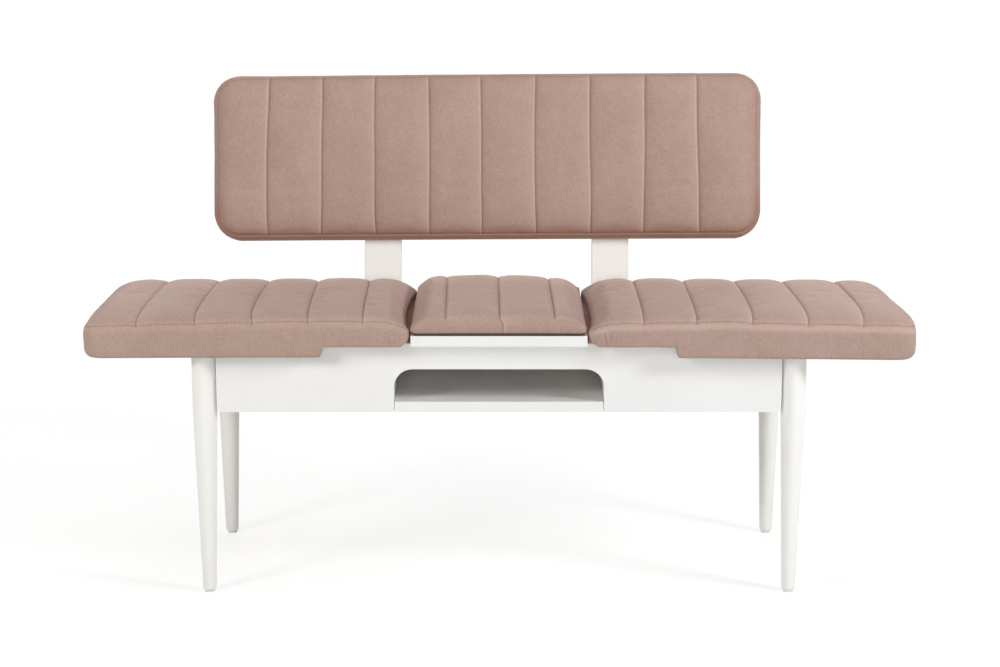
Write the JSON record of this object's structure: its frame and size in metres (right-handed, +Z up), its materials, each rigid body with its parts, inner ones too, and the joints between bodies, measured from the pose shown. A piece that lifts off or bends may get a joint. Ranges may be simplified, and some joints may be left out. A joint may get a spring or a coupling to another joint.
{
  "type": "extending upholstered bench",
  "caption": "Upholstered dining bench with channel-stitched back, seats that slide apart around a lift-out leaf, storage shelf and round tapered legs.",
  "frame": {"origin": "on the floor, at the middle of the bounding box", "axes": "+X along the bench to the right of someone facing it, front towards -Y, +Z up"},
  "size_m": [1.3996, 0.4992, 0.8565],
  "materials": {
    "velvet": "matte",
    "foam": "matte",
    "steel": "satin",
    "nylon": "matte",
    "plywood": "matte",
    "raw_wood": "matte",
    "white_lacquer": "satin",
    "white_board": "satin"
  },
  "bodies": {
    "frame": {"front_rail": "white_board", "rear_rail": "white_board", "left_end_board": "white_board", "right_end_board": "white_board", "storage_shelf": "white_board", "left_shelf_divider": "white_board", "right_shelf_divider": "white_board", "front_left_leg": "white_lacquer", "front_right_leg": "white_lacquer", "rear_left_leg": "white_lacquer", "rear_right_leg": "white_lacquer", "leg_glides": "nylon", "front_left_brace": "steel", "front_right_brace": "steel", "rear_left_brace": "steel", "rear_right_brace": "steel", "brace_screws": "steel", "leg_hanger_bolts": "steel", "leg_flange_nuts": "steel", "front_channel": "steel", "rear_channel": "steel", "channel_stops": "nylon", "channel_screws": "steel", "shelf_screws": "steel", "divider_dowels": "raw_wood", "left_back_post": "white_board", "right_back_post": "white_board", "post_bolts": "steel", "post_nuts": "steel", "back_panel": "plywood", "back_foam": "foam", "back_cover": "velvet", "back_rear_cloth": "velvet", "back_screws": "steel", "back_tee_nuts": "steel"},
    "left_seat": {"left_seat_board": "plywood", "left_front_lip": "raw_wood", "left_end_lip": "raw_wood", "left_seat_foam": "foam", "left_seat_cover": "velvet", "left_front_runner": "raw_wood", "left_rear_runner": "raw_wood", "left_slide_shoes": "nylon", "left_seat_screws": "steel"},
    "right_seat": {"right_seat_board": "plywood", "right_front_lip": "raw_wood", "right_end_lip": "raw_wood", "right_seat_foam": "foam", "right_seat_cover": "velvet", "right_front_runner": "raw_wood", "right_rear_runner": "raw_wood", "right_slide_shoes": "nylon", "right_seat_screws": "steel"},
    "centre_leaf": {"leaf_board": "white_board", "leaf_base": "plywood", "leaf_foam": "foam", "leaf_cover": "velvet", "leaf_cleats": "raw_wood", "leaf_screws": "steel"}
  },
  "joints": [
    {"name": "left_seat_slide", "type": "slide", "parent": "frame", "child": "left_seat", "axis": [-1, 0, 0], "range_m": [0, 0.02]},
    {"name": "right_seat_slide", "type": "slide", "parent": "frame", "child": "right_seat", "axis": [1, 0, 0], "range_m": [0, 0.02]},
    {"name": "leaf_lift", "type": "slide", "parent": "frame", "child": "centre_leaf", "axis": [0, 0, 1], "range_m": [0, 0.05]}
  ]
}
